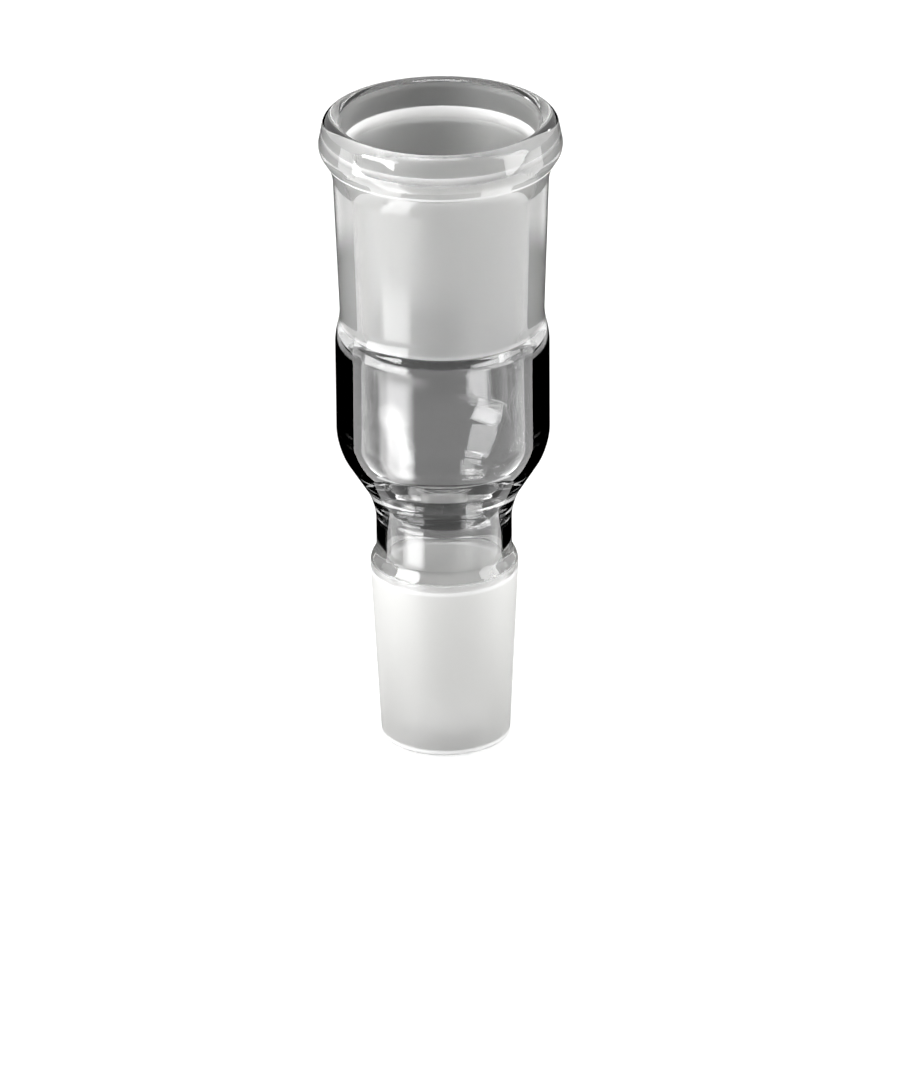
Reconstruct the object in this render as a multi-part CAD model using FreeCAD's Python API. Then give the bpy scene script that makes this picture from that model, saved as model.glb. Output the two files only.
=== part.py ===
"""Expansion adapter for ground-joint laboratory glassware: a wide ground socket over a narrower ground cone.

Millimetres, +Z up along the axis of the bore. The origin is the centre of the cone's lower end, on which the adapter
stands. It is turned borosilicate glass, flame-sealed from blanks, so every sub-part is a ring that meets the next
one face to face, and all of them take their radii and levels from the dimensions below. Slopes are degrees from
the axis.
"""
import FreeCAD, Part
import math
import os

# Ground joints: all lose the same diameter per millimetre, so that any cone of a size seats in any socket of it.
JOINT_TAPER = 0.1

# Ground cone, size 24/29
CONE_LARGE_D = 24.0
CONE_GROUND_LENGTH = 29.0
CONE_TIP_LENGTH = 0.7            # fire-polished end below the ground zone
CONE_TIP_BEND = 0.6              # rounding of the end, outside and inside
CONE_END_WALL = 2.1

# Collar: the rounded step from the cone in to its stem
COLLAR_LAND = 1.5                # from the ground zone up to the step
COLLAR_SLOPE = 28.0
COLLAR_BEND = 2.5

# Stem of the cone blank
NECK_OD = 22.0
NECK_WALL = 1.5
NECK_LENGTH = 4.6

# Seal between the stem and the shoulder: it flares to the shoulder outside and swells a little inside
SEAL_BEND = 11.0
SEAL_SWELL = 0.3
SEAL_SWELL_BEND = 5.0

# Shoulder, drawn down from the body tube
SHOULDER_SLOPE = 32.0
SHOULDER_BEND = 10.0
FUNNEL_SLOPE = 40.0              # the inside of the shoulder
FUNNEL_TOP_BEND = 6.0
FUNNEL_FOOT_BEND = 4.0

# Body tube: the socket blank's own tube, as wide as the socket is under its bead
BODY_WALL = 3.0
BODY_LENGTH = 15.0

# Ground socket, size 29/32
SOCKET_LARGE_D = 29.2            # of the taper where it would end without the countersink
SOCKET_GROUND_LENGTH = 32.0
WAIST_WALL = 3.4                 # at the waist, where the body is shrunk onto the small end of the taper
BRIM_WALL = 3.0                  # under the bead
WAIST_SLOPE = 16.0
WAIST_BEND = 10.0
ENTRY_SLOPE = 35.0               # inside, from the body's bore up to the ground zone
ENTRY_BEND = 1.5

# Beaded mouth
MOUTH_LENGTH = 3.8               # from the taper's large diameter to the top of the lip
MOUTH_DEPTH = 4.4                # from the top of the lip down to the countersink
MOUTH_STEP = 0.95                # how far the mouth stands back from the taper's large diameter
MOUTH_SLOPE = 4.0                # inside, opening to the lip
SINK_SLOPE = 36.0                # countersink, ground with the taper
SINK_BEND = 0.25
BEAD_LENGTH = 9.0                # from the foot of the bead's underside to the top of the lip
BEAD_SWELL = 2.4                 # from the brim to where underside and flank would meet without their bend
BEAD_UNDER_SLOPE = 31.5
BEAD_FLANK_SLOPE = 11.3
BEAD_BEND = 2.5
BEAD_FOOT_BEND = 6.5


def rise(width, slope):
    """Height over which a slope crosses that width, inwards or outwards."""
    return abs(width) / math.tan(math.radians(slope))


def reach(bend, turn):
    """Distance from a corner that turns by those degrees to either end of its bend."""
    return bend * math.tan(math.radians(turn) / 2)


# Radii
TAPER_SLOPE = math.degrees(math.atan(JOINT_TAPER / 2))
CONE_LARGE_R = CONE_LARGE_D / 2
CONE_SMALL_R = CONE_LARGE_R - CONE_GROUND_LENGTH * JOINT_TAPER / 2
NECK_R = NECK_OD / 2
NECK_BORE_R = NECK_R - NECK_WALL
SOCKET_LARGE_R = SOCKET_LARGE_D / 2
SOCKET_SMALL_R = SOCKET_LARGE_R - SOCKET_GROUND_LENGTH * JOINT_TAPER / 2
WAIST_R = SOCKET_SMALL_R + WAIST_WALL
BEAD_DEPTH = BEAD_LENGTH + reach(BEAD_FOOT_BEND, BEAD_UNDER_SLOPE)
BRIM_BORE_R = SOCKET_LARGE_R - (BEAD_DEPTH - MOUTH_LENGTH) * JOINT_TAPER / 2
BODY_R = BRIM_BORE_R + BRIM_WALL
BODY_BORE_R = BODY_R - BODY_WALL
BEAD_CORNER_R = BODY_R + BEAD_SWELL

# Levels, from the end of the cone upwards, and the radii that follow from them
CONE_TOP_Z = CONE_TIP_LENGTH + CONE_GROUND_LENGTH
COLLAR_CORNER_Z = CONE_TOP_Z + COLLAR_LAND
STEM_CORNER_Z = COLLAR_CORNER_Z + rise(CONE_LARGE_R - NECK_R, COLLAR_SLOPE)
NECK_LOW_Z = STEM_CORNER_Z + reach(COLLAR_BEND, COLLAR_SLOPE)
SEAL_LOW_Z = NECK_LOW_Z + NECK_LENGTH
SEAL_CORNER_Z = SEAL_LOW_Z + reach(SEAL_BEND, SHOULDER_SLOPE)
SHOULDER_LOW_Z = SEAL_CORNER_Z + reach(SEAL_BEND, SHOULDER_SLOPE) * math.cos(math.radians(SHOULDER_SLOPE))
SHOULDER_LOW_R = NECK_R + reach(SEAL_BEND, SHOULDER_SLOPE) * math.sin(math.radians(SHOULDER_SLOPE))
SHOULDER_CORNER_Z = SEAL_CORNER_Z + rise(BODY_R - NECK_R, SHOULDER_SLOPE)
FUNNEL_FOOT_Z = SHOULDER_LOW_Z + reach(FUNNEL_FOOT_BEND, FUNNEL_SLOPE)
FUNNEL_TOP_Z = FUNNEL_FOOT_Z + rise(BODY_BORE_R - NECK_BORE_R, FUNNEL_SLOPE)
BODY_LOW_Z = max(SHOULDER_CORNER_Z + reach(SHOULDER_BEND, SHOULDER_SLOPE),
                 FUNNEL_TOP_Z + reach(FUNNEL_TOP_BEND, FUNNEL_SLOPE))
SOCKET_LOW_Z = BODY_LOW_Z + BODY_LENGTH
SHRINK_CORNER_Z = SOCKET_LOW_Z + reach(WAIST_BEND, WAIST_SLOPE)
WAIST_CORNER_Z = SHRINK_CORNER_Z + rise(BODY_R - WAIST_R, WAIST_SLOPE)
ENTRY_CORNER_Z = SOCKET_LOW_Z + reach(ENTRY_BEND, ENTRY_SLOPE)
ENTRY_TOP_Z = ENTRY_CORNER_Z + rise(BODY_BORE_R - SOCKET_SMALL_R, ENTRY_SLOPE)
GROUND_LOW_Z = ENTRY_TOP_Z + reach(ENTRY_BEND, ENTRY_SLOPE + TAPER_SLOPE)
ENTRY_TOP_R = SOCKET_SMALL_R - (GROUND_LOW_Z - ENTRY_TOP_Z) * JOINT_TAPER / 2
GROUND_TOP_Z = GROUND_LOW_Z + SOCKET_GROUND_LENGTH
LIP_TOP_Z = GROUND_TOP_Z + MOUTH_LENGTH
BEAD_FOOT_Z = LIP_TOP_Z - BEAD_LENGTH
BEAD_LOW_Z = LIP_TOP_Z - BEAD_DEPTH
BEAD_CORNER_Z = BEAD_FOOT_Z + rise(BEAD_SWELL, BEAD_UNDER_SLOPE)
SINK_TOP_R = SOCKET_LARGE_R + MOUTH_STEP
SINK_TOP_Z = LIP_TOP_Z - MOUTH_DEPTH
SINK_DEPTH = ((MOUTH_STEP + (GROUND_TOP_Z - SINK_TOP_Z) * JOINT_TAPER / 2)
              / (math.tan(math.radians(SINK_SLOPE)) - JOINT_TAPER / 2))
SINK_FOOT_R = SINK_TOP_R - SINK_DEPTH * math.tan(math.radians(SINK_SLOPE))


def rounded(corners):
    """Edges of a closed section from its corners: radius, level and, where it is rounded, the bend's radius.

    Where two bends would need more than the side between them, both get smaller until they fit on it.
    """
    points = [FreeCAD.Vector(corner[0], 0, corner[1]) for corner in corners]
    sides = [points[(index + 1) % len(points)] - point for index, point in enumerate(points)]
    half_turns = [sides[index - 1].getAngle(side) / 2 for index, side in enumerate(sides)]
    bends = [corner[2] if len(corner) > 2 else 0 for corner in corners]
    wanted = [bend * math.tan(half_turn) for bend, half_turn in zip(bends, half_turns)]
    share = [1.0] * len(points)
    for index, side in enumerate(sides):
        after = (index + 1) % len(points)
        room = min(1.0, 0.999 * side.Length / max(wanted[index] + wanted[after], 1e-9))
        share[index], share[after] = min(share[index], room), min(share[after], room)
    starts, ends, edges = [], [], []
    for index, point in enumerate(points):
        back = FreeCAD.Vector(sides[index - 1]).normalize()
        ahead = FreeCAD.Vector(sides[index]).normalize()
        starts.append(point - back * wanted[index] * share[index])
        ends.append(point + ahead * wanted[index] * share[index])
        if bends[index]:
            middle = (ahead - back).normalize() * (1 / math.cos(half_turns[index]) - 1)
            edges.append(Part.Arc(starts[-1], point + middle * bends[index] * share[index], ends[-1]).toShape())
    for index, start in enumerate(starts):
        if start.distanceToPoint(ends[index - 1]) > 1e-6:
            edges.append(Part.LineSegment(ends[index - 1], start).toShape())
    return edges


def turned(corners):
    """The solid that a closed section makes when it is turned about the axis."""
    section = Part.Face(Part.Wire(Part.__sortEdges__(rounded(corners))))
    return section.revolve(FreeCAD.Vector(0, 0, 0), FreeCAD.Vector(0, 0, 1), 360)


def ground_cone():
    """Hollow cone, ground outside, with a fire-polished end."""
    return turned([
        (CONE_SMALL_R - CONE_END_WALL, 0, CONE_TIP_BEND),
        (CONE_SMALL_R, 0, CONE_TIP_BEND),
        (CONE_SMALL_R, CONE_TIP_LENGTH),
        (CONE_LARGE_R, CONE_TOP_Z),
        (NECK_BORE_R, CONE_TOP_Z),
    ])


def cone_collar():
    """Clear rounded step above the ground zone, left standing out of the socket that the cone is put in."""
    return turned([
        (CONE_LARGE_R, CONE_TOP_Z),
        (CONE_LARGE_R, COLLAR_CORNER_Z, COLLAR_BEND),
        (NECK_R, STEM_CORNER_Z, COLLAR_BEND),
        (NECK_R, NECK_LOW_Z),
        (NECK_BORE_R, NECK_LOW_Z),
        (NECK_BORE_R, CONE_TOP_Z),
    ])


def plain_tube(outer_r, bore_r, low_z, high_z):
    """A straight length of tube with square ends."""
    return turned([(outer_r, low_z), (outer_r, high_z), (bore_r, high_z), (bore_r, low_z)])


def seal_ring():
    """The band that softened when stem and shoulder were sealed: flared outside, slightly swollen inside."""
    return turned([
        (NECK_R, SEAL_LOW_Z),
        (NECK_R, SEAL_CORNER_Z, SEAL_BEND),
        (SHOULDER_LOW_R, SHOULDER_LOW_Z),
        (NECK_BORE_R, SHOULDER_LOW_Z),
        (NECK_BORE_R - SEAL_SWELL, (SEAL_LOW_Z + SHOULDER_LOW_Z) / 2, SEAL_SWELL_BEND),
        (NECK_BORE_R, SEAL_LOW_Z),
    ])


def drawn_shoulder():
    """The body tube drawn down to the neck: sloped outside, a slightly flatter funnel inside."""
    return turned([
        (SHOULDER_LOW_R, SHOULDER_LOW_Z),
        (BODY_R, SHOULDER_CORNER_Z, SHOULDER_BEND),
        (BODY_R, BODY_LOW_Z),
        (BODY_BORE_R, BODY_LOW_Z),
        (BODY_BORE_R, FUNNEL_TOP_Z, FUNNEL_TOP_BEND),
        (NECK_BORE_R, FUNNEL_FOOT_Z, FUNNEL_FOOT_BEND),
        (NECK_BORE_R, SHOULDER_LOW_Z),
    ])


def ground_socket():
    """Socket wall below the bead: shrunk in and flared with the taper outside, ground inside."""
    return turned([
        (BODY_R, SOCKET_LOW_Z),
        (BODY_R, SHRINK_CORNER_Z, WAIST_BEND),
        (WAIST_R, WAIST_CORNER_Z, WAIST_BEND),
        (BODY_R, BEAD_LOW_Z),
        (BRIM_BORE_R, BEAD_LOW_Z),
        (ENTRY_TOP_R, ENTRY_TOP_Z, ENTRY_BEND),
        (BODY_BORE_R, ENTRY_CORNER_Z, ENTRY_BEND),
        (BODY_BORE_R, SOCKET_LOW_Z),
    ])


def mouth_bead():
    """Thickened mouth: a bead outside, a fully rounded lip, and inside it the countersink down to the taper."""
    flank_turn = 90 - BEAD_FLANK_SLOPE
    mouth_turn = 90 - MOUTH_SLOPE
    flank_top_r = BEAD_CORNER_R - (LIP_TOP_Z - BEAD_CORNER_Z) * math.tan(math.radians(BEAD_FLANK_SLOPE))
    mouth_top_r = SINK_TOP_R + MOUTH_DEPTH * math.tan(math.radians(MOUTH_SLOPE))
    lip_bend = (flank_top_r - mouth_top_r) / (reach(1, flank_turn) + reach(1, mouth_turn))
    return turned([
        (BODY_R, BEAD_LOW_Z),
        (BODY_R, BEAD_FOOT_Z, BEAD_FOOT_BEND),
        (BEAD_CORNER_R, BEAD_CORNER_Z, BEAD_BEND),
        (flank_top_r, LIP_TOP_Z, lip_bend),
        (mouth_top_r, LIP_TOP_Z, lip_bend),
        (SINK_TOP_R, SINK_TOP_Z, SINK_BEND),
        (SINK_FOOT_R, SINK_TOP_Z - SINK_DEPTH, SINK_BEND),
        (BRIM_BORE_R, BEAD_LOW_Z),
    ])


def main():
    os.makedirs("parts", exist_ok=True)
    pieces = {
        "mouth_bead": mouth_bead(),
        "ground_socket": ground_socket(),
        "body_tube": plain_tube(BODY_R, BODY_BORE_R, BODY_LOW_Z, SOCKET_LOW_Z),
        "drawn_shoulder": drawn_shoulder(),
        "seal_ring": seal_ring(),
        "neck_tube": plain_tube(NECK_R, NECK_BORE_R, NECK_LOW_Z, SEAL_LOW_Z),
        "cone_collar": cone_collar(),
        "ground_cone": ground_cone(),
    }
    for name, shape in pieces.items():
        shape.exportStep(f"parts/{name}.step")
        box = shape.optimalBoundingBox(False, False)
        print(f"{name}: valid {shape.isValid()}, volume {shape.Volume:.1f} mm3, "
              f"radius {box.XMax:.2f}, z {box.ZMin:.2f} to {box.ZMax:.2f}")


main()
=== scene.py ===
import math

import bpy
from bpy.props import FloatProperty, FloatVectorProperty, IntProperty, PointerProperty
from mathutils import Matrix, Vector


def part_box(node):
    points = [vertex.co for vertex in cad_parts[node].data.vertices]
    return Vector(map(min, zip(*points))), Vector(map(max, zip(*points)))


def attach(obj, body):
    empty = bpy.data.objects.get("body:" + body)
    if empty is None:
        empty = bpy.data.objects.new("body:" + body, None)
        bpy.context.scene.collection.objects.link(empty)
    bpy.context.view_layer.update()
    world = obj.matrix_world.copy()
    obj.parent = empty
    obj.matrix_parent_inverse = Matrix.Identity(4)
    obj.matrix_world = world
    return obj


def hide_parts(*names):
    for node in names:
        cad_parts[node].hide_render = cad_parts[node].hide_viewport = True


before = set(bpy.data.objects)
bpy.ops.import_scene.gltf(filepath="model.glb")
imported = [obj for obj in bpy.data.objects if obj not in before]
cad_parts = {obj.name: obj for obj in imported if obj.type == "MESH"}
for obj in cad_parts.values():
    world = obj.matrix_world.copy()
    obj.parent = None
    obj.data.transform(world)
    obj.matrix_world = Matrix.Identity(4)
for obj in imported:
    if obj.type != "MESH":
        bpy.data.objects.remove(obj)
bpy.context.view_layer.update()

bl_info = {
    "name": "Ground-joint expansion adapter",
    "version": (1, 0, 0),
    "blender": (4, 5, 0),
    "location": "View3D > Sidebar > Adapter",
    "description": "Turns a laboratory glass adapter from its section and lays a studio for it",
    "category": "Object",
}

# The glass is sealed in the flame and is one piece, so one skin stands in for all its nodes.
GLASS_NODES = ("mouth_bead", "ground_socket", "body_tube", "drawn_shoulder",
               "seal_ring", "neck_tube", "cone_collar", "ground_cone")


SAME_PLACE = 1e-6  # metres within which two points of the section are one
BEND_STEP = 3.0  # degrees of a bend to each of its straight sides
SMOOTH_ANGLE = 14.0  # degrees up to which neighbouring faces are shaded as one surface
LIP_SHARE = 0.999  # part of the lip that its two bends take up, so that they don't end in the same point


def low_z(node_name):
    """Level of the lowest point of a node of the frame."""
    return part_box(node_name)[0].z


def high_z(node_name):
    """Level of the highest point of a node of the frame."""
    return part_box(node_name)[1].z


def radius_of(node_name):
    """Largest radius of a round node of the frame."""
    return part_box(node_name)[1].x


def linear(hex_colour):
    """Linear red, green and blue of an sRGB hex colour."""
    parts = [int(hex_colour[i:i + 2], 16) / 255 for i in (1, 3, 5)]
    return tuple(p / 12.92 if p <= 0.04045 else ((p + 0.055) / 1.055) ** 2.4 for p in parts)


def length(name, description, default):
    return FloatProperty(name=name, description=description, default=default, min=0.0,
                         unit="LENGTH", subtype="DISTANCE", precision=5)


def slope(name, description, degrees):
    return FloatProperty(name=name, description=description, default=math.radians(degrees),
                         min=0.0, max=math.pi, unit="ROTATION", subtype="ANGLE")


def amount(name, description, default):
    return FloatProperty(name=name, description=description, default=default, min=0.0, precision=3)


def share(name, description, default):
    return FloatProperty(name=name, description=description, default=default, min=0.0, max=1.0,
                         subtype="FACTOR")


def colour(name, description, hex_colour):
    return FloatVectorProperty(name=name, description=description, default=linear(hex_colour),
                               min=0.0, max=1.0, size=3, subtype="COLOR")


class AdapterSizes(bpy.types.PropertyGroup):
    """Sizes of the glass that the nodes' boxes don't give: walls, slopes and bends."""
    steps: IntProperty(name="Steps round", description="Segments of the turned glass", default=240,
                       min=24, max=512)
    longest_side: length("Longest side", "Longest straight step along the section", 0.0025)
    body_wall: length("Body wall", "Glass of the body tube", 0.0030)
    neck_wall: length("Neck wall", "Glass of the cone's stem", 0.0015)
    cone_end_wall: length("Cone end wall", "Glass at the cone's lower end", 0.0021)
    cone_tip: length("Cone tip", "Fire-polished end below the cone's ground zone", 0.0007)
    cone_taper: share("Joint taper", "Diameter lost per unit of length of a ground joint", 0.1)
    tip_bend: length("Tip bend", "Rounding of the cone's end", 0.0006)
    collar_land: length("Collar land", "Plain glass above the cone's ground zone", 0.0015)
    collar_slope: slope("Collar slope", "Slope of the collar from the axis", 28)
    collar_bend: length("Collar bend", "Bends of the collar", 0.0025)
    seal_bend: length("Seal bend", "Bend outside where the stem flares to the shoulder", 0.011)
    seal_swell: length("Seal swell", "How far the seal stands into the bore", 0.0003)
    seal_swell_bend: length("Seal swell bend", "Rounding of the seal inside", 0.005)
    shoulder_slope: slope("Shoulder slope", "Outside of the drawn shoulder, from the axis", 32)
    shoulder_bend: length("Shoulder bend", "Bend from the body to the shoulder", 0.010)
    funnel_slope: slope("Funnel slope", "Inside of the drawn shoulder, from the axis", 40)
    funnel_top_bend: length("Funnel top bend", "Upper bend of the funnel", 0.006)
    funnel_foot_bend: length("Funnel foot bend", "Lower bend of the funnel", 0.004)
    waist_wall: length("Waist wall", "Glass at the socket's waist", 0.0034)
    waist_slope: slope("Waist slope", "Step down to the waist, from the axis", 16)
    waist_bend: length("Waist bend", "Bends of the step down to the waist", 0.010)
    entry_slope: slope("Entry slope", "Inside, from the body's bore to the ground zone", 35)
    entry_bend: length("Entry bend", "Bends of that step", 0.0015)
    socket_large: length("Socket diameter", "Large diameter of the ground socket", 0.0292)
    socket_length: length("Socket length", "Length of its ground zone", 0.032)
    mouth_length: length("Mouth", "From the large end of the taper to the top of the lip", 0.0038)
    mouth_depth: length("Mouth depth", "From the lip down to the countersink", 0.0044)
    mouth_step: length("Mouth step", "How much wider the mouth is than the taper's large end", 0.00095)
    mouth_slope: slope("Mouth slope", "Flare of the mouth, from the axis", 4)
    sink_slope: slope("Countersink slope", "Frosted countersink above the taper, from the axis", 36)
    sink_top_bend: length("Countersink top bend", "Rounding from the mouth to the countersink", 0.00025)
    sink_foot_bend: length("Countersink foot bend", "Rounding from the countersink to the taper", 0.0002)
    bead_length: length("Bead", "From the foot of the bead's underside to the lip", 0.0090)
    bead_swell: length("Bead swell", "How far the bead's corner stands out", 0.0024)
    bead_under: slope("Bead underside", "Slope of the underside, from the axis", 31.5)
    bead_flank: slope("Bead flank", "Slope of the flank, from the axis", 11.3)
    bead_bend: length("Bead bend", "Rounding of the bead's widest part", 0.0025)
    bead_foot_bend: length("Bead foot bend", "Rounding of the bead's foot", 0.0065)


class AdapterFinish(bpy.types.PropertyGroup):
    """Colour, frosting and fine marks of the glass."""
    ground: colour("Ground glass", "Colour of the ground joint surfaces", "#E9E9E7")
    refraction: amount("Refraction", "Refractive index of the glass", 1.47)
    absorption: amount("Absorption", "Light that the glass swallows, per metre", 15.0)
    roughness: share("Ground roughness", "Roughness of a ground surface", 0.55)
    pit_spacing: length("Pit spacing", "Distance between the drawn pits of the grinding", 1 / 3000)
    pit_depth: length("Pit depth", "Depth of the drawn pits", 0.0001)
    pit_strength: share("Pit strength", "How strongly the pits tilt the surface", 0.15)
    # The cone lets more light through at its end than at its top: painted shade, darker towards the bottom.
    cone_end_clear: share("Cone end clear", "Light let through by the ground cone at its end", 0.7)
    cone_top_clear: share("Cone top clear", "Light let through by the ground cone at its top", 0.28)
    socket_clear: share("Socket clear", "Light let through by the ground socket", 0.78)
    flare_clear: share("Flare clear", "Light let through by the mouth above the countersink", 0.87)
    collar_frost: share("Collar frost", "Frosting of the collar's land, against that of the cone", 0.5)
    cone_skin: length("Cone skin", "How far inside the cone's largest radius its outside lies at most", 0.0018)
    mouth_skin: length("Mouth skin", "How far outside the mouth's radius the frosting may lie", 0.0004)
    overrun: length("Overrun", "Clear end of the cone, and how far its grinding runs past the top", 0.0002)
    run_out: length("Run-out", "How far the grinding runs out below the socket's taper", 0.0007)
    lip_clear: length("Clear lip", "Clear glass from the top of the lip down", 0.0005)
    zone_blur: length("Zone blur", "Soft edge of a ground zone", 0.0003)
    # White at the ground zones' ends and on the countersink: painted highlight, whiter and less clear glass.
    edge_blur: length("Edge blur", "Soft edge of the white at the ends of a ground zone", 0.0004)
    highlight_opacity: share("White edge", "How much less light the whitest edges let through", 0.7)
    band_below: length("Band below", "White band below the end of the cone's ground zone", 0.0005)
    band_above: length("Band above", "White band above that end, and half the one at the socket's end", 0.0003)
    cone_top_highlight: share("Cone top white", "Whiteness of the band at the cone's top", 0.6)
    cone_end_highlight: share("Cone end white", "Whiteness of the band at the cone's end", 1.0)
    socket_end_highlight: share("Socket end white", "Whiteness of the band at the socket's lower end", 0.5)
    sink_band: length("Countersink band", "Height of the white on the countersink", 0.0016)
    sink_blur: length("Countersink blur", "Soft edge of that band", 0.0002)
    sink_highlight: share("Countersink white", "Whiteness at the countersink's top", 0.95)
    sink_fade: length("Countersink fade", "From the countersink's frosting to that of the mouth", 0.0003)
    # The line round the bead is a painted highlight: a thin white frosted band.
    highlight_line_drop: length("Highlight line drop", "From the lip to the line left by the forming tool", 0.007195)
    highlight_line_width: length("Highlight line width", "Width of that line", 0.00052)
    highlight_line_blur: length("Highlight line blur", "Soft edge of that line", 0.00015)


class AdapterStudio(bpy.types.PropertyGroup):
    """Light and sizes of the studio. Side angles are turned from the front, to the left or the right."""
    surround: amount("Surround", "Light from all round", 0.26)
    floor_size: length("Floor size", "Side of the square floor", 8.0)
    floor: colour("Floor", "Colour in which the floor throws light back", "#BCBCBC")
    floor_glow: amount("Floor glow", "Glow that whitens the floor for the camera and for the glass", 0.62)
    card_radius: length("Card radius", "Radius of the card and of the flag round it", 1.2)
    card_light: amount("Card light", "Light of the card's front part", 2.2)
    side_light: amount("Side light", "Light of the card's ring at the sides", 1.1)
    ring_start: length("Ring start", "Distance from the axis where that ring starts", 0.212)
    ring_end: length("Ring end", "Distance from the axis where that ring ends", 0.28)
    ring_blur: length("Ring blur", "Soft inner edge of that ring; the outer one is twice as soft", 0.02)
    foot_radius: length("Foot radius", "Radius of the card's middle, under the adapter", 0.045)
    foot_front: amount("Foot front", "Light of the front of the card's middle", 0.3)
    foot_back: amount("Foot back", "Light of the back of the card's middle", 0.7)
    mirrored_gain: amount("Mirrored gain", "How much brighter the card is in rays that the glass mirrors", 1.6)
    through_light: amount("Through light", "Most light of the card's front in rays that pass through", 0.5)
    flag_height: length("Flag height", "Height of the black flag", 0.16)
    flag_side: slope("Flag side", "Angle from the front beyond which all is black", 108)


def reach(bend, turn):
    """Distance from a corner that turns by that angle to either end of its bend."""
    return bend * math.tan(turn / 2)


def section_corners(sizes):
    """Corners of the section from the cone's end, up the outside and down the bore: radius, level, bend."""
    half_taper = sizes.cone_taper / 2
    body_r, neck_r, cone_r = radius_of("body_tube"), radius_of("neck_tube"), radius_of("ground_cone")
    cone_top, neck_low = high_z("ground_cone"), low_z("neck_tube")
    seal_low, shoulder_low, body_low = low_z("seal_ring"), low_z("drawn_shoulder"), low_z("body_tube")
    socket_low, lip_top = low_z("ground_socket"), high_z("mouth_bead")
    cone_small_r = cone_r - (cone_top - sizes.cone_tip) * half_taper
    collar_z = cone_top + sizes.collar_land
    stem_z = collar_z + (cone_r - neck_r) / math.tan(sizes.collar_slope)
    seal_z = seal_low + reach(sizes.seal_bend, sizes.shoulder_slope)
    shoulder_z = seal_z + (body_r - neck_r) / math.tan(sizes.shoulder_slope)
    socket_r = sizes.socket_large / 2
    ground_top = lip_top - sizes.mouth_length
    ground_low = ground_top - sizes.socket_length
    small_r = socket_r - sizes.socket_length * half_taper
    waist_r = small_r + sizes.waist_wall
    shrink_z = socket_low + reach(sizes.waist_bend, sizes.waist_slope)
    waist_z = shrink_z + (body_r - waist_r) / math.tan(sizes.waist_slope)
    bead_foot = lip_top - sizes.bead_length
    bead_low = low_z("mouth_bead")
    bead_r = body_r + sizes.bead_swell
    bead_z = bead_foot + sizes.bead_swell / math.tan(sizes.bead_under)
    flank_r = bead_r - (lip_top - bead_z) * math.tan(sizes.bead_flank)
    sink_r = socket_r + sizes.mouth_step
    sink_z = lip_top - sizes.mouth_depth
    sink_width = sink_r - socket_r + (ground_top - sink_z) * half_taper
    foot_z = sink_z - sink_width / (math.tan(sizes.sink_slope) - half_taper)
    mouth_r = sink_r + sizes.mouth_depth * math.tan(sizes.mouth_slope)
    lip_reach = reach(1, math.pi / 2 - sizes.bead_flank) + reach(1, math.pi / 2 - sizes.mouth_slope)
    lip_bend = LIP_SHARE * (flank_r - mouth_r) / lip_reach
    bore_r, neck_bore = body_r - sizes.body_wall, neck_r - sizes.neck_wall
    entry_z = socket_low + reach(sizes.entry_bend, sizes.entry_slope)
    entry_top = entry_z + (bore_r - small_r) / math.tan(sizes.entry_slope)
    entry_r = small_r - (ground_low - entry_top) * half_taper
    funnel_foot = shoulder_low + reach(sizes.funnel_foot_bend, sizes.funnel_slope)
    funnel_top = funnel_foot + (bore_r - neck_bore) / math.tan(sizes.funnel_slope)
    return [
        (cone_small_r, 0.0, sizes.tip_bend),
        (cone_small_r, sizes.cone_tip, 0.0),
        (cone_r, cone_top, 0.0),
        (cone_r, collar_z, sizes.collar_bend),
        (neck_r, stem_z, sizes.collar_bend),
        (neck_r, seal_z, sizes.seal_bend),
        (body_r, shoulder_z, sizes.shoulder_bend),
        (body_r, shrink_z, sizes.waist_bend),
        (waist_r, waist_z, sizes.waist_bend),
        (body_r, bead_low, 0.0),
        (body_r, bead_foot, sizes.bead_foot_bend),
        (bead_r, bead_z, sizes.bead_bend),
        (flank_r, lip_top, lip_bend),
        (mouth_r, lip_top, lip_bend),
        (sink_r, sink_z, sizes.sink_top_bend),
        (socket_r - (ground_top - foot_z) * half_taper, foot_z, sizes.sink_foot_bend),
        (entry_r, entry_top, sizes.entry_bend),
        (bore_r, entry_z, sizes.entry_bend),
        (bore_r, funnel_top, sizes.funnel_top_bend),
        (neck_bore, funnel_foot, sizes.funnel_foot_bend),
        (neck_bore, shoulder_low, 0.0),
        (neck_bore - sizes.seal_swell, (seal_low + shoulder_low) / 2, sizes.seal_swell_bend),
        (neck_bore, seal_low, 0.0),
        (neck_bore, cone_top, 0.0),
        (cone_small_r - sizes.cone_end_wall, 0.0, sizes.tip_bend),
    ]


def deselect_all():
    """Leaves nothing selected, so that an operator acts only on what it has just made."""
    bpy.ops.object.select_all(action="DESELECT")


def select_vertices(mesh_object, wanted):
    """In edit mode, selects only the vertices for which wanted(position) holds, and returns how many."""
    bpy.ops.object.mode_set(mode="OBJECT")
    mesh = mesh_object.data
    count = 0
    for edge in mesh.edges:
        edge.select = False
    for face in mesh.polygons:
        face.select = False
    for vertex in mesh.vertices:
        vertex.select = wanted(vertex.co)
        count += vertex.select
    bpy.ops.object.mode_set(mode="EDIT")
    return count


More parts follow.
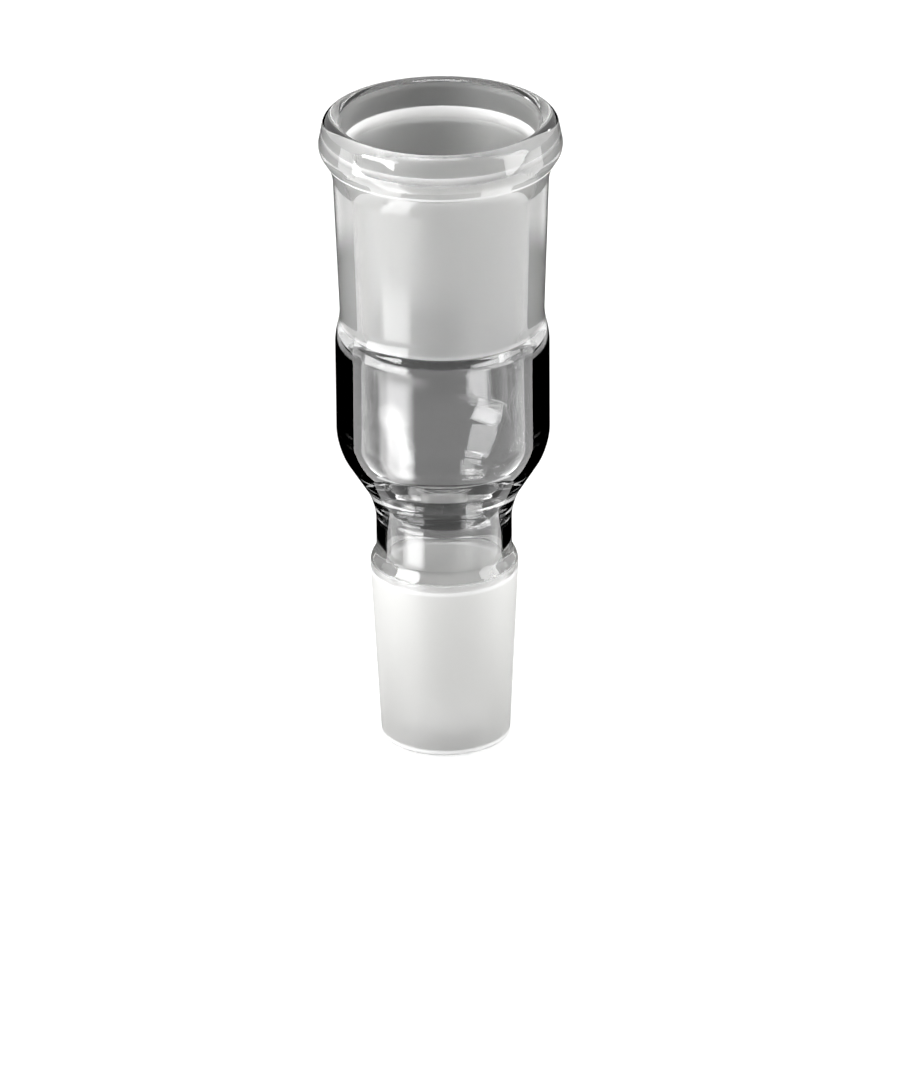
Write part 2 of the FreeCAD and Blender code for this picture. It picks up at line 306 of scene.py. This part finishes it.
def draw_section(name, corners):
    """Draws the section in the XZ plane: a vertex extruded from corner to corner, with its bends bevelled."""
    deselect_all()
    start = Vector((corners[0][0], 0, corners[0][1]))
    bpy.ops.mesh.primitive_plane_add(size=0.001, location=start)
    section = bpy.context.object
    section.name = name
    section.data.name = name
    bpy.ops.object.transform_apply(location=True, rotation=True, scale=True)
    bpy.ops.object.mode_set(mode="EDIT")
    bpy.context.tool_settings.mesh_select_mode = (True, False, False)
    bpy.ops.mesh.select_all(action="SELECT")
    bpy.ops.mesh.merge(type="CENTER")
    here = start
    for radius, level, _ in corners[1:]:
        there = Vector((radius, 0, level))
        bpy.ops.mesh.extrude_region_move(TRANSFORM_OT_translate={"value": there - here})
        here = there
    select_vertices(section, lambda co: (co - start).length < SAME_PLACE or (co - here).length < SAME_PLACE)
    bpy.ops.mesh.edge_face_add()
    points = [Vector((radius, 0, level)) for radius, level, _ in corners]
    for index, (radius, level, bend) in enumerate(corners):
        if not bend:
            continue
        point = points[index]
        back = point - points[index - 1]
        ahead = points[(index + 1) % len(points)] - point
        turn = back.angle(ahead)
        if select_vertices(section, lambda co: (co - point).length < SAME_PLACE) != 1:
            raise RuntimeError(f"the section has no single corner at {point}")
        bpy.ops.mesh.bevel(offset_type="OFFSET", offset=reach(bend, turn), affect="VERTICES", profile=0.5,
                           segments=max(3, math.ceil(math.degrees(turn) / BEND_STEP)), clamp_overlap=False)
    bpy.ops.object.mode_set(mode="OBJECT")
    return section


def split_long_sides(section, longest):
    """Cuts the long straight sides into eighths, quarters or halves, to keep the turned faces even."""
    mesh = section.data
    for cuts in (7, 3, 1):
        bpy.ops.object.mode_set(mode="OBJECT")
        for vertex in mesh.vertices:
            vertex.select = False
        chosen = 0
        for edge in mesh.edges:
            a, b = (mesh.vertices[i].co for i in edge.vertices)
            edge.select = (a - b).length > longest * (cuts + 1)
            chosen += edge.select
        bpy.ops.object.mode_set(mode="EDIT")
        bpy.context.tool_settings.mesh_select_mode = (False, True, False)
        if chosen:
            bpy.ops.mesh.subdivide(number_cuts=cuts, smoothness=0)
    bpy.context.tool_settings.mesh_select_mode = (True, False, False)
    bpy.ops.object.mode_set(mode="OBJECT")


def turn_section(section, steps):
    """Spins the section about the axis to a closed, smooth-shaded glass wall with its faces outwards."""
    bpy.ops.object.mode_set(mode="EDIT")
    bpy.ops.mesh.select_all(action="SELECT")
    bpy.ops.mesh.spin(steps=steps, angle=math.tau, center=(0, 0, 0), axis=(0, 0, 1))
    bpy.ops.mesh.select_all(action="SELECT")
    bpy.ops.mesh.remove_doubles(threshold=10 * SAME_PLACE)
    bpy.ops.mesh.normals_make_consistent(inside=False)
    bpy.ops.object.mode_set(mode="OBJECT")
    bpy.ops.object.shade_smooth_by_angle(angle=math.radians(SMOOTH_ANGLE))


def node(tree, kind, inputs=None, **settings):
    """Adds a node with its settings. Each input is set, or linked to a socket or to a node's first output."""
    made = tree.nodes.new(kind)
    for key, value in settings.items():
        setattr(made, key, value)
    for key, value in (inputs or {}).items():
        if isinstance(value, bpy.types.Node):
            value = value.outputs[0]
        if isinstance(value, bpy.types.NodeSocket):
            tree.links.new(value, made.inputs[key])
        else:
            made.inputs[key].default_value = value
    return made


def new_material(name):
    """An empty material and its node tree."""
    material = bpy.data.materials.new(name)
    material.use_nodes = True
    material.node_tree.nodes.clear()
    return material, material.node_tree


def product(tree, *factors):
    """The product of all factors: for masks, 1 where every one of them is 1."""
    result = factors[0]
    for factor in factors[1:]:
        result = node(tree, "ShaderNodeMath", {0: result, 1: factor}, operation="MULTIPLY")
    return result


def largest(tree, *values):
    """The largest of all values: for masks, 1 where any of them is 1."""
    result = values[0]
    for value in values[1:]:
        result = node(tree, "ShaderNodeMath", {0: result, 1: value}, operation="MAXIMUM")
    return result


def between(tree, value, low, high, soft, soft_high=None):
    """1 where a value lies between two limits, with edges that are soft over the distances given."""
    edges = []
    for limit, sign, width in ((low, 1, soft), (high, -1, soft_high or soft)):
        half = sign * width / 2
        edges.append(node(tree, "ShaderNodeMapRange",
                          {"Value": value, "From Min": limit - half, "From Max": limit + half},
                          interpolation_type="SMOOTHSTEP"))
    return product(tree, *edges)


def surface_point(tree):
    """A point of the surface: its position, its separate coordinates and its distance from the axis."""
    place = node(tree, "ShaderNodeTexCoord").outputs["Object"]
    axes = node(tree, "ShaderNodeSeparateXYZ", {0: place}).outputs
    squares = node(tree, "ShaderNodeMath", {0: product(tree, axes["X"], axes["X"]),
                                            1: product(tree, axes["Y"], axes["Y"])}, operation="ADD")
    return place, axes, node(tree, "ShaderNodeMath", {0: squares}, operation="SQRT")


def ground_zones(tree, sizes, finish, level, radius):
    """Masks of the ground cone with the collar's land above it, and of the ground socket with its mouth."""
    cone_top, lip_top = high_z("ground_cone"), high_z("mouth_bead")
    cone = between(tree, level, finish.overrun, cone_top + finish.overrun, finish.zone_blur)
    land = product(tree, finish.collar_frost,
                   between(tree, level, cone_top, cone_top + sizes.collar_land, finish.edge_blur))
    cone_outside = node(tree, "ShaderNodeMath", {0: radius, 1: radius_of("ground_cone") - finish.cone_skin},
                        operation="GREATER_THAN")
    socket_low = lip_top - sizes.mouth_length - sizes.socket_length - finish.run_out
    socket = between(tree, level, socket_low, lip_top - finish.lip_clear, finish.zone_blur)
    mouth_r = sizes.socket_large / 2 + sizes.mouth_step + sizes.mouth_depth * math.tan(sizes.mouth_slope)
    socket_inside = node(tree, "ShaderNodeMath", {0: radius, 1: mouth_r + finish.mouth_skin},
                         operation="LESS_THAN")
    return product(tree, largest(tree, cone, land), cone_outside), product(tree, socket, socket_inside)


def painted_bead_highlight(tree, finish, level, radius):
    """Mask of a thin white line round the outside of the bead, a painted highlight."""
    middle, half = high_z("mouth_bead") - finish.highlight_line_drop, finish.highlight_line_width / 2
    outside = node(tree, "ShaderNodeMath", {0: radius, 1: radius_of("body_tube")}, operation="GREATER_THAN")
    return product(tree, between(tree, level, middle - half, middle + half, finish.highlight_line_blur), outside)


def painted_edge_highlights(tree, sizes, finish, level, ground):
    """Painted highlights: white on the countersink, brightest at its top, and at the ground zones' ends."""
    cone_top, lip_top = high_z("ground_cone"), high_z("mouth_bead")
    sink_top = lip_top - sizes.mouth_depth
    sink_low = sink_top - finish.sink_band
    socket_low = lip_top - sizes.mouth_length - sizes.socket_length - finish.run_out
    # The countersink's painted highlight is brightest at its top and fades downwards.
    rise = node(tree, "ShaderNodeMapRange", {"Value": level, "From Min": sink_low, "From Max": sink_top,
                                             "To Max": finish.sink_highlight}, interpolation_type="SMOOTHSTEP")
    white = product(tree, ground, rise,
                    between(tree, level, sink_low, sink_top + finish.sink_blur / 2, finish.sink_blur))
    bands = ((cone_top - finish.band_below, cone_top + finish.band_above, finish.cone_top_highlight),
             (sizes.cone_tip - finish.band_below, sizes.cone_tip + finish.band_above, finish.cone_end_highlight),
             (socket_low, socket_low + 2 * finish.band_above, finish.socket_end_highlight))
    for low, high, whiteness in bands:
        white = largest(tree, white,
                        product(tree, ground, whiteness, between(tree, level, low, high, finish.edge_blur)))
    return white


def glass_material(sizes, finish):
    """Blown borosilicate glass with two ground joint zones."""
    # The walls were drawn and polished in the flame. They are clear and glossy, and a wall that is thick or
    # turns away from the eye shows as a dark band. The joints were ground with grit. They are frosted and pale,
    # and let a soft light through. Painted highlights whiten the ends of the ground zones, the countersink and a
    # line round the bead, and painted shade leaves the cone clearer and darker towards its end.
    material, tree = new_material("borosilicate_glass")
    place, axes, radius = surface_point(tree)
    level = axes["Z"]
    cone_zone, socket_zone = ground_zones(tree, sizes, finish, level, radius)
    # A thin white line round the bead: painted highlight.
    highlight_line = painted_bead_highlight(tree, finish, level, radius)
    ground = largest(tree, cone_zone, socket_zone, highlight_line)
    # All painted highlights: the line round the bead, the countersink and the ends of the ground zones.
    white = largest(tree, highlight_line, painted_edge_highlights(tree, sizes, finish, level, ground))

    # Frosting: the share of light that a ground surface doesn't let through.
    sink_top = high_z("mouth_bead") - sizes.mouth_depth
    # Painted shade: the cone lets more light through towards its end, so it looks darker towards the bottom.
    cone_frost_and_shade = node(tree, "ShaderNodeMapRange", {"Value": level, "From Max": high_z("ground_cone"),
                                                   "To Min": 1 - finish.cone_end_clear,
                                                   "To Max": 1 - finish.cone_top_clear})
    socket_frost = node(tree, "ShaderNodeMapRange",
                        {"Value": level, "From Min": sink_top, "From Max": sink_top + finish.sink_fade,
                         "To Min": 1 - finish.socket_clear, "To Max": 1 - finish.flare_clear},
                        interpolation_type="SMOOTHSTEP")
    frost = largest(tree, product(tree, cone_zone, cone_frost_and_shade), product(tree, socket_zone, socket_frost))
    unfrosted = node(tree, "ShaderNodeMath", {0: 1.0, 1: frost}, operation="SUBTRACT")
    # Under the painted highlights the glass lets less light through.
    unwhitened = node(tree, "ShaderNodeMath", {0: 1.0, 1: product(tree, white, finish.highlight_opacity)},
                      operation="SUBTRACT")

    # The grit's real pits are about 0.04 mm apart and too fine to show, so they are drawn about 0.33 mm apart.
    pits = node(tree, "ShaderNodeTexNoise", {"Vector": place, "Scale": 1 / finish.pit_spacing, "Detail": 2.0})
    bump = node(tree, "ShaderNodeBump", {"Height": pits, "Distance": finish.pit_depth,
                                         "Strength": product(tree, ground, finish.pit_strength)})
    # The ground colour, turned to white under the painted highlights.
    tinted = product(tree, ground, node(tree, "ShaderNodeMath", {0: 1.0, 1: white}, operation="SUBTRACT"))
    tint = node(tree, "ShaderNodeMix", {0: tinted, 6: (*linear("#FFFFFF"), 1), 7: (*finish.ground, 1)},
                data_type="RGBA")
    shader = node(tree, "ShaderNodeBsdfPrincipled",
                  {"Base Color": tint.outputs[2], "Roughness": product(tree, ground, finish.roughness),
                   "IOR": finish.refraction, "Transmission Weight": product(tree, unfrosted, unwhitened),
                   "Normal": bump})
    absorb = node(tree, "ShaderNodeVolumeAbsorption", {"Color": (*linear("#000000"), 1),
                                                       "Density": finish.absorption})
    node(tree, "ShaderNodeOutputMaterial", {"Surface": shader, "Volume": absorb})
    return material


class ADAPTER_OT_turn_glass(bpy.types.Operator):
    """Turn the whole adapter from its section, and give it its glass"""
    bl_idname = "adapter.turn_glass"
    bl_label = "Turn glass"

    def execute(self, context):
        sizes = context.scene.adapter_sizes
        glass = draw_section("adapter_glass", section_corners(sizes))
        split_long_sides(glass, sizes.longest_side)
        turn_section(glass, sizes.steps)
        glass.data.materials.append(glass_material(sizes, context.scene.adapter_finish))
        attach(glass, "root")
        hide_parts(*GLASS_NODES)
        return {"FINISHED"}


FLOOR_LEVEL = -0.0004  # metres: a little below the adapter's foot, and below the card
CARD_LEVEL = -0.0002
SHEET_SIDES = 96  # straight sides of the card and of the flag
LAMP_TARGET = Vector((0, 0, 0.06))  # the point at the adapter's middle that the softboxes look at

# Bright patches of the card, which the glass shows as slanting strips and glints: side angles and their soft
# edge in degrees, where minus is left of the front; distances from the axis and their soft edge in metres; light.
PATCHES = (
    ((-68, -36), 8, (0.05, 0.184), 0.02, 7.5),
    ((-80, -24), 30, (0.184, 0.25), 0.02, 3.0),
    ((-88, -37), 4, (0.29, 1.2), 0.015, 10.0),
)

# Softboxes: name, side angle and height angle in degrees, distance in metres, width and height in metres,
# watts, and the kinds of ray that don't see it.
SOFTBOXES = (
    ("strip_softbox", -62, 17, 1.1, (0.75, 0.6), 24.0, ("diffuse",)),
    ("key_softbox", -72, 18, 1.1, (0.6, 0.9), 16.0, ("glossy", "transmission")),
    ("fill_softbox", 76, 20, 1.1, (0.6, 0.9), 12.0, ()),
    ("top_softbox", 0, 89, 1.25, (0.55, 0.55), 5.5, ()),
)


def seen_white(tree, shader, white):
    """Shows white to camera, glossy and transmission rays, and the shader to all others."""
    ray = node(tree, "ShaderNodeLightPath").outputs
    seen = largest(tree, ray["Is Camera Ray"], ray["Is Glossy Ray"], ray["Is Transmission Ray"])
    return node(tree, "ShaderNodeMixShader", {0: seen, 1: shader, 2: white})


def hide_sheet(sheet):
    """Leaves a sheet to the rays that glass mirrors or lets through: it isn't seen and casts no shadow."""
    sheet.visible_camera = False
    sheet.visible_diffuse = False
    sheet.visible_shadow = False
    sheet.visible_volume_scatter = False


def lay_floor(studio):
    """A matt floor that keeps the adapter's shadow and glows enough to be white."""
    bpy.ops.mesh.primitive_plane_add(size=studio.floor_size, location=(0, 0, FLOOR_LEVEL))
    floor = bpy.context.object
    floor.name = "studio_floor"
    material, tree = new_material("matt_white_floor")
    lit = node(tree, "ShaderNodeBsdfDiffuse", {"Color": (*studio.floor, 1)})
    glow = node(tree, "ShaderNodeEmission", {"Color": (*linear("#FFFFFF"), 1), "Strength": studio.floor_glow})
    both = node(tree, "ShaderNodeAddShader", {0: lit, 1: glow})
    node(tree, "ShaderNodeOutputMaterial", {"Surface": seen_white(tree, lit, both)})
    floor.data.materials.append(material)


def hang_surround(scene, studio):
    """A world that lights the adapter softly from all round, and is plain white where it is seen."""
    world = bpy.data.worlds.new("white_surround")
    scene.world = world
    world.use_nodes = True
    tree = world.node_tree
    tree.nodes.clear()
    white = (*linear("#FFFFFF"), 1)
    lit = node(tree, "ShaderNodeBackground", {"Color": white, "Strength": studio.surround})
    seen = node(tree, "ShaderNodeBackground", {"Color": white, "Strength": 1.0})
    node(tree, "ShaderNodeOutputWorld", {"Surface": seen_white(tree, lit, seen)})


def card_light(tree, studio, side, away):
    """Light of the card without its patches: bright in front, black behind, with a ring round the sides."""
    front = node(tree, "ShaderNodeMath", {0: side, 1: studio.flag_side}, operation="LESS_THAN")
    # Towards the back the ring fades from the card's light to the side light, and then to black.
    falls = ((95, 128, studio.card_light, studio.side_light), (138, 162, 1.0, 0.0))
    fade = [node(tree, "ShaderNodeMapRange", {"Value": side, "From Min": math.radians(start),
                                              "From Max": math.radians(end), "To Min": first, "To Max": last},
                 interpolation_type="SMOOTHSTEP")
            for start, end, first, last in falls]
    ring = between(tree, away, studio.ring_start, studio.ring_end, studio.ring_blur, studio.ring_blur * 2)
    light = node(tree, "ShaderNodeMix", {0: ring, 2: product(tree, front, studio.card_light),
                                         3: product(tree, *fade)})
    foot = node(tree, "ShaderNodeMath", {0: away, 1: studio.foot_radius}, operation="LESS_THAN")
    foot_light = node(tree, "ShaderNodeMix", {0: front, 2: studio.foot_back, 3: studio.foot_front})
    return node(tree, "ShaderNodeMix", {0: foot, 2: light, 3: foot_light})


def patch_light(tree, direction, away):
    """Light of all the card's bright patches."""
    light = 0.0
    for sides, turn_blur, distances, blur, strength in PATCHES:
        sector = between(tree, direction, *(math.radians(side) for side in sides), math.radians(turn_blur))
        patch = product(tree, sector, between(tree, away, *distances, blur), strength)
        light = node(tree, "ShaderNodeMath", {0: light, 1: patch}, operation="ADD")
    return light


def lay_card(studio):
    """A glowing card under the adapter, because clear glass takes its look from what stands round it."""
    bpy.ops.mesh.primitive_circle_add(vertices=SHEET_SIDES, radius=studio.card_radius, fill_type="NGON",
                                      location=(0, 0, CARD_LEVEL))
    card = bpy.context.object
    card.name = "studio_card"
    material, tree = new_material("sector_card")
    _, axes, away = surface_point(tree)
    ahead = product(tree, axes["Y"], -1.0)
    direction = node(tree, "ShaderNodeMath", {0: axes["X"], 1: ahead}, operation="ARCTAN2")
    side = node(tree, "ShaderNodeMath", {0: direction}, operation="ABSOLUTE")
    light = card_light(tree, studio, side, away)
    # Seen through the glass, the card's front is dimmer than it is in the glass as in a mirror.
    limit = node(tree, "ShaderNodeMapRange", {"Value": side, "From Min": math.radians(80),
                                              "From Max": math.radians(104), "To Min": studio.through_light,
                                              "To Max": studio.card_light}, interpolation_type="SMOOTHSTEP")
    through = node(tree, "ShaderNodeMath", {0: light, 1: limit}, operation="MINIMUM")
    ray = node(tree, "ShaderNodeLightPath").outputs
    shown = node(tree, "ShaderNodeMix", {0: ray["Is Transmission Ray"],
                                         2: product(tree, light, studio.mirrored_gain), 3: through})
    # Only rays that the glass has mirrored at least once show the patches: seen straight through the glass from
    # the side, they would blot it out.
    mirrored = node(tree, "ShaderNodeMath", {0: ray["Glossy Depth"], 1: 0.5}, operation="GREATER_THAN")
    patches = product(tree, patch_light(tree, direction, away), mirrored)
    both = node(tree, "ShaderNodeMath", {0: shown, 1: patches}, operation="ADD")
    node(tree, "ShaderNodeOutputMaterial", {"Surface": node(tree, "ShaderNodeEmission", {"Strength": both})})
    card.data.materials.append(material)
    hide_sheet(card)


def stand_flag(studio):
    """A low black wall round the back of the card, which gives the clear glass the dark bands at its sides."""
    bpy.ops.mesh.primitive_cylinder_add(vertices=SHEET_SIDES, radius=studio.card_radius, depth=studio.flag_height,
                                        end_fill_type="NOTHING",
                                        location=(0, 0, studio.flag_height / 2 + CARD_LEVEL))
    flag = bpy.context.object
    flag.name = "studio_flag"
    material, tree = new_material("black_flag")
    _, axes, _ = surface_point(tree)
    behind = node(tree, "ShaderNodeMath", {0: axes["Y"], 1: -studio.card_radius * math.cos(studio.flag_side)},
                  operation="GREATER_THAN")
    cut = node(tree, "ShaderNodeMixShader", {0: behind, 1: node(tree, "ShaderNodeBsdfTransparent"),
                                             2: node(tree, "ShaderNodeEmission", {"Strength": 0.0})})
    node(tree, "ShaderNodeOutputMaterial", {"Surface": cut})
    flag.data.materials.append(material)
    hide_sheet(flag)


def hang_softbox(name, side, height, distance, sizes, watts, unseen_by):
    """A soft lamp that looks at the adapter's middle from a side angle and a height angle."""
    side, height = math.radians(side), math.radians(height)
    way = Vector((math.sin(side) * math.cos(height), -math.cos(side) * math.cos(height), math.sin(height)))
    bpy.ops.object.light_add(type="AREA", location=LAMP_TARGET + way * distance)
    lamp = bpy.context.object
    lamp.name = name
    lamp.rotation_euler = way.to_track_quat("Z", "Y").to_euler()
    lamp.data.shape = "RECTANGLE"
    lamp.data.size, lamp.data.size_y = sizes
    lamp.data.energy = watts
    for ray in unseen_by:
        setattr(lamp, "visible_" + ray, False)


def place_camera():
    """A camera with a long lens, 1.4 m away and looking down at the adapter."""
    bpy.ops.object.camera_add()
    camera = bpy.context.object
    camera.name = "studio_camera"
    camera.location = (0, -1.2866, 0.6116)
    pitch, roll, pan = math.radians(24.1788), math.radians(0.52), math.radians(0.041594)
    turn = (Matrix.Rotation(-pan, 4, "Z") @ Matrix.Rotation(math.pi / 2 - pitch, 4, "X")
            @ Matrix.Rotation(-roll, 4, "Z"))
    camera.rotation_euler = turn.to_euler()
    camera.data.sensor_width = 36.0
    camera.data.lens = 289.2767
    camera.data.clip_start, camera.data.clip_end = 0.1, 20.0
    bpy.context.scene.camera = camera


class ADAPTER_OT_lay_stage(bpy.types.Operator):
    """Lay the floor and surround, the card and flag that only the glass sees, the softboxes and the camera"""
    bl_idname = "adapter.lay_stage"
    bl_label = "Lay stage"

    def execute(self, context):
        studio = context.scene.adapter_studio
        context.scene.view_settings.view_transform = "Standard"
        deselect_all()
        lay_floor(studio)
        hang_surround(context.scene, studio)
        lay_card(studio)
        stand_flag(studio)
        for softbox in SOFTBOXES:
            hang_softbox(*softbox)
        place_camera()
        return {"FINISHED"}


class ADAPTER_PT_panel(bpy.types.Panel):
    """Sizes, colours and steps of the adapter"""
    bl_idname = "ADAPTER_PT_panel"
    bl_label = "Expansion adapter"
    bl_space_type = "VIEW_3D"
    bl_region_type = "UI"
    bl_category = "Adapter"

    def draw(self, context):
        column = self.layout.column()
        scene = context.scene
        for group in (scene.adapter_sizes, scene.adapter_finish, scene.adapter_studio):
            for name in group.bl_rna.properties.keys():
                if name not in ("rna_type", "name"):
                    column.prop(group, name)
        for operator in STEPS:
            column.operator(operator.bl_idname)


STEPS = (ADAPTER_OT_turn_glass, ADAPTER_OT_lay_stage)
CLASSES = (AdapterSizes, AdapterFinish, AdapterStudio, *STEPS, ADAPTER_PT_panel)


def register():
    for each in CLASSES:
        bpy.utils.register_class(each)
    bpy.types.Scene.adapter_sizes = PointerProperty(type=AdapterSizes)
    bpy.types.Scene.adapter_finish = PointerProperty(type=AdapterFinish)
    bpy.types.Scene.adapter_studio = PointerProperty(type=AdapterStudio)


def unregister():
    del bpy.types.Scene.adapter_studio
    del bpy.types.Scene.adapter_finish
    del bpy.types.Scene.adapter_sizes
    for each in reversed(CLASSES):
        bpy.utils.unregister_class(each)


def main():
    register()
    bpy.ops.adapter.turn_glass()
    bpy.ops.adapter.lay_stage()


if __name__ == "__main__":
    main()
